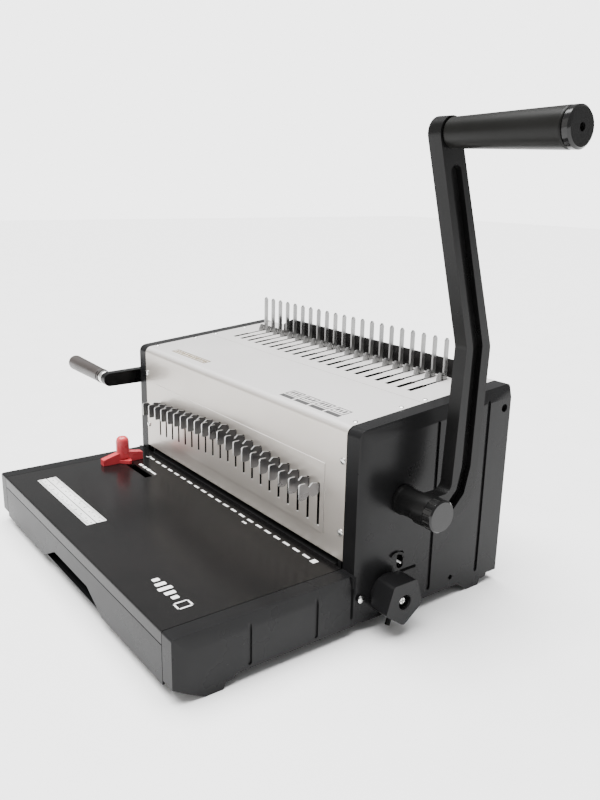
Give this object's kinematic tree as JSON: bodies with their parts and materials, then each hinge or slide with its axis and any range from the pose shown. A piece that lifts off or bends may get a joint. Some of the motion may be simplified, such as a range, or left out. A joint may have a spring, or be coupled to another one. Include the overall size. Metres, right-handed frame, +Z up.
{
  "type": "comb binding machine",
  "caption": "Manual desktop comb binder: a side lever punches paper, pull-out tabs pick the punches, and a second lever opens the comb on a row of upright pins.",
  "frame": {"origin": "middle of the bounding box's bottom, on the table the feet stand on", "axes": "+X to the operator's right, along the shafts and the row of pins; +Y away from the operator; +Z up"},
  "size_m": [0.6366, 0.334, 0.4002],
  "materials": {
    "silver_case": "satin silver-grey paint",
    "black_plastic": "satin moulded plastic, fine texture",
    "black_sheet": "fine-textured black powder coat",
    "zinc_plated": "bright zinc plate",
    "steel": "ground steel",
    "tab_steel": "sheared steel strip, dark faces with bright edges",
    "black_lever": "satin black coat",
    "grip_plastic": "satin grip plastic",
    "red_plastic": "semi-gloss moulded plastic"
  },
  "bodies": {
    "frame": {"base_pan": "zinc_plated", "deck_plate": "black_sheet", "die_plate": "steel", "punch_guide": "steel", "front_cover": "silver_case", "top_cover": "silver_case", "rear_panel": "black_sheet", "side_cover_right": "black_plastic", "side_cover_left": "black_plastic", "base_cover_right": "black_plastic", "base_cover_left": "black_plastic", "frame_plate_right": "zinc_plated", "frame_plate_left": "zinc_plated", "comb_pin_rail": "steel", "rest_plate": "black_sheet", "return_spring_right": "steel", "return_spring_left": "steel"},
    "lever": {"main_shaft": "steel", "crank_right": "zinc_plated", "crank_left": "zinc_plated", "lever_hub": "black_lever", "lever_arm": "black_lever", "hub_cap": "black_plastic", "grip_sleeve": "grip_plastic", "grip_end_cap": "grip_plastic"},
    "beam": {"punch_beam": "steel", "punch_set": "steel"},
    "opener": {"opener_shaft": "steel", "opener_crank_right": "zinc_plated", "opener_crank_left": "zinc_plated", "opener_arm": "black_lever", "opener_grip": "grip_plastic"},
    "carriage": {"hook_carriage": "zinc_plated"},
    "knob": {"depth_knob": "black_plastic", "knob_screw": "zinc_plated"},
    "depth_stop": {"depth_stop_bar": "steel"},
    "guide": {"edge_guide": "red_plastic", "edge_guide_clamp": "zinc_plated"},
    "tray": {"chip_tray": "black_plastic"},
    "punch_tab_01": {"punch_tab_01": "tab_steel"},
    "punch_tab_02": {"punch_tab_02": "tab_steel"},
    "punch_tab_03": {"punch_tab_03": "tab_steel"},
    "punch_tab_04": {"punch_tab_04": "tab_steel"},
    "punch_tab_05": {"punch_tab_05": "tab_steel"},
    "punch_tab_06": {"punch_tab_06": "tab_steel"},
    "punch_tab_07": {"punch_tab_07": "tab_steel"},
    "punch_tab_08": {"punch_tab_08": "tab_steel"},
    "punch_tab_09": {"punch_tab_09": "tab_steel"},
    "punch_tab_10": {"punch_tab_10": "tab_steel"},
    "punch_tab_11": {"punch_tab_11": "tab_steel"},
    "punch_tab_12": {"punch_tab_12": "tab_steel"},
    "punch_tab_13": {"punch_tab_13": "tab_steel"},
    "punch_tab_14": {"punch_tab_14": "tab_steel"},
    "punch_tab_15": {"punch_tab_15": "tab_steel"},
    "punch_tab_16": {"punch_tab_16": "tab_steel"},
    "punch_tab_17": {"punch_tab_17": "tab_steel"},
    "punch_tab_18": {"punch_tab_18": "tab_steel"},
    "punch_tab_19": {"punch_tab_19": "tab_steel"},
    "punch_tab_20": {"punch_tab_20": "tab_steel"},
    "punch_tab_21": {"punch_tab_21": "tab_steel"}
  },
  "joints": [
    {"name": "lever_pull", "type": "hinge", "parent": "frame", "child": "lever", "pos_m": [-0.01025, 0.041, 0.1086], "axis": [1, 0, 0], "range_deg": [0, 78], "stiffness_Nm_per_rad": 3, "springref_deg": -34.38},
    {"name": "beam_stroke", "type": "slide", "parent": "frame", "child": "beam", "axis": [0, 0, -1], "range_m": [0, 0.0241], "deforming": ["return_spring_right", "return_spring_left"]},
    {"name": "opener_turn", "type": "hinge", "parent": "frame", "child": "opener", "pos_m": [-0.01025, 0.11, 0.136], "axis": [1, 0, 0], "range_deg": [0, 50]},
    {"name": "carriage_slide", "type": "slide", "parent": "frame", "child": "carriage", "axis": [0, -1, 0], "range_m": [0, 0.0321]},
    {"name": "knob_turn", "type": "hinge", "parent": "frame", "child": "knob", "pos_m": [-0.01025, 0.0262, 0.0315], "axis": [1, 0, 0], "range_deg": [0, 288.1]},
    {"name": "depth_stop_slide", "type": "slide", "parent": "frame", "child": "depth_stop", "axis": [0, 1, 0], "range_m": [0, 0.004]},
    {"name": "guide_slide", "type": "slide", "parent": "frame", "child": "guide", "axis": [1, 0, 0], "range_m": [0, 0.024]},
    {"name": "tray_slide", "type": "slide", "parent": "frame", "child": "tray", "axis": [0, -1, 0], "range_m": [0, 0.14]},
    {"name": "tab_01_pull", "type": "slide", "parent": "beam", "child": "punch_tab_01", "axis": [0, -1, 0], "range_m": [0, 0.007]},
    {"name": "tab_02_pull", "type": "slide", "parent": "beam", "child": "punch_tab_02", "axis": [0, -1, 0], "range_m": [0, 0.007]},
    {"name": "tab_03_pull", "type": "slide", "parent": "beam", "child": "punch_tab_03", "axis": [0, -1, 0], "range_m": [0, 0.007]},
    {"name": "tab_04_pull", "type": "slide", "parent": "beam", "child": "punch_tab_04", "axis": [0, -1, 0], "range_m": [0, 0.007]},
    {"name": "tab_05_pull", "type": "slide", "parent": "beam", "child": "punch_tab_05", "axis": [0, -1, 0], "range_m": [0, 0.007]},
    {"name": "tab_06_pull", "type": "slide", "parent": "beam", "child": "punch_tab_06", "axis": [0, -1, 0], "range_m": [0, 0.007]},
    {"name": "tab_07_pull", "type": "slide", "parent": "beam", "child": "punch_tab_07", "axis": [0, -1, 0], "range_m": [0, 0.007]},
    {"name": "tab_08_pull", "type": "slide", "parent": "beam", "child": "punch_tab_08", "axis": [0, -1, 0], "range_m": [0, 0.007]},
    {"name": "tab_09_pull", "type": "slide", "parent": "beam", "child": "punch_tab_09", "axis": [0, -1, 0], "range_m": [0, 0.007]},
    {"name": "tab_10_pull", "type": "slide", "parent": "beam", "child": "punch_tab_10", "axis": [0, -1, 0], "range_m": [0, 0.007]},
    {"name": "tab_11_pull", "type": "slide", "parent": "beam", "child": "punch_tab_11", "axis": [0, -1, 0], "range_m": [0, 0.007]},
    {"name": "tab_12_pull", "type": "slide", "parent": "beam", "child": "punch_tab_12", "axis": [0, -1, 0], "range_m": [0, 0.007]},
    {"name": "tab_13_pull", "type": "slide", "parent": "beam", "child": "punch_tab_13", "axis": [0, -1, 0], "range_m": [0, 0.007]},
    {"name": "tab_14_pull", "type": "slide", "parent": "beam", "child": "punch_tab_14", "axis": [0, -1, 0], "range_m": [0, 0.007]},
    {"name": "tab_15_pull", "type": "slide", "parent": "beam", "child": "punch_tab_15", "axis": [0, -1, 0], "range_m": [0, 0.007]},
    {"name": "tab_16_pull", "type": "slide", "parent": "beam", "child": "punch_tab_16", "axis": [0, -1, 0], "range_m": [0, 0.007]},
    {"name": "tab_17_pull", "type": "slide", "parent": "beam", "child": "punch_tab_17", "axis": [0, -1, 0], "range_m": [0, 0.007]},
    {"name": "tab_18_pull", "type": "slide", "parent": "beam", "child": "punch_tab_18", "axis": [0, -1, 0], "range_m": [0, 0.007]},
    {"name": "tab_19_pull", "type": "slide", "parent": "beam", "child": "punch_tab_19", "axis": [0, -1, 0], "range_m": [0, 0.007]},
    {"name": "tab_20_pull", "type": "slide", "parent": "beam", "child": "punch_tab_20", "axis": [0, -1, 0], "range_m": [0, 0.007]},
    {"name": "tab_21_pull", "type": "slide", "parent": "beam", "child": "punch_tab_21", "axis": [0, -1, 0], "range_m": [0, 0.007]}
  ],
  "couplings": [
    {"joint": "beam_stroke", "follows": "lever_pull", "m_per_rad": 0.017629},
    {"joint": "carriage_slide", "follows": "opener_turn", "m_per_rad": 0.036669},
    {"joint": "knob_turn", "follows": "depth_stop_slide", "rad_per_m": 1256.6}
  ]
}
